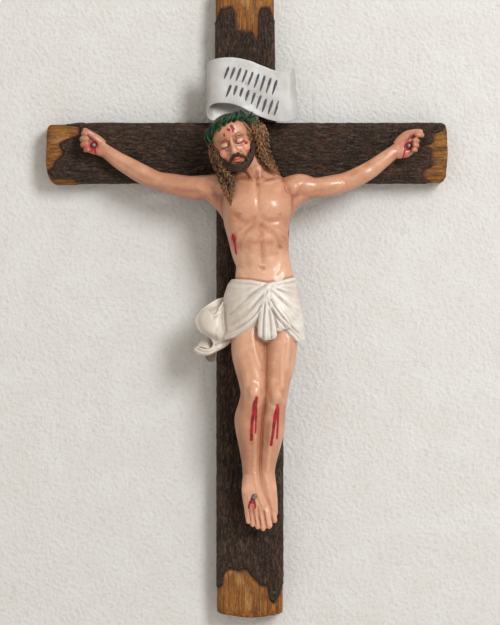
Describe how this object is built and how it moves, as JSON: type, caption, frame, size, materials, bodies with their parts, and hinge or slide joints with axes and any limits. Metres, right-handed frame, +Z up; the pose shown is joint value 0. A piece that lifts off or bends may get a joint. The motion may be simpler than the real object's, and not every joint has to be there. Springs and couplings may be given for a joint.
{
  "type": "wall crucifix",
  "caption": "Wall crucifix: bark-covered timber cross with a painted cast figure, curled title scroll, thorn crown and round-headed nails, hung flat on a wall.",
  "frame": {"origin": "on the flat back of the upright, at the crossing of the two timbers, where the cross lies against the wall", "axes": "+Z up along the upright; +Y into the wall, so the figure faces -Y; +X to the right as seen from the front"},
  "size_m": [0.382, 0.0832, 0.6],
  "materials": {
    "timber": "rough dark bark with bare ochre wood at the four ends, thinly varnished",
    "figure_paint": "cast resin, hand painted in flesh, brown and pearl white, varnished",
    "crown_paint": "cast resin, painted green",
    "scroll_paint": "cast resin, painted off-white, satin",
    "nail_metal": "dull grey round-headed nails"
  },
  "bodies": {
    "root": {"upright": "timber", "crossbeam": "timber", "figure": "figure_paint", "crown_of_thorns": "crown_paint", "title_scroll": "scroll_paint", "nail_right_hand": "nail_metal", "nail_left_hand": "nail_metal", "nail_feet": "nail_metal"}
  },
  "joints": []
}
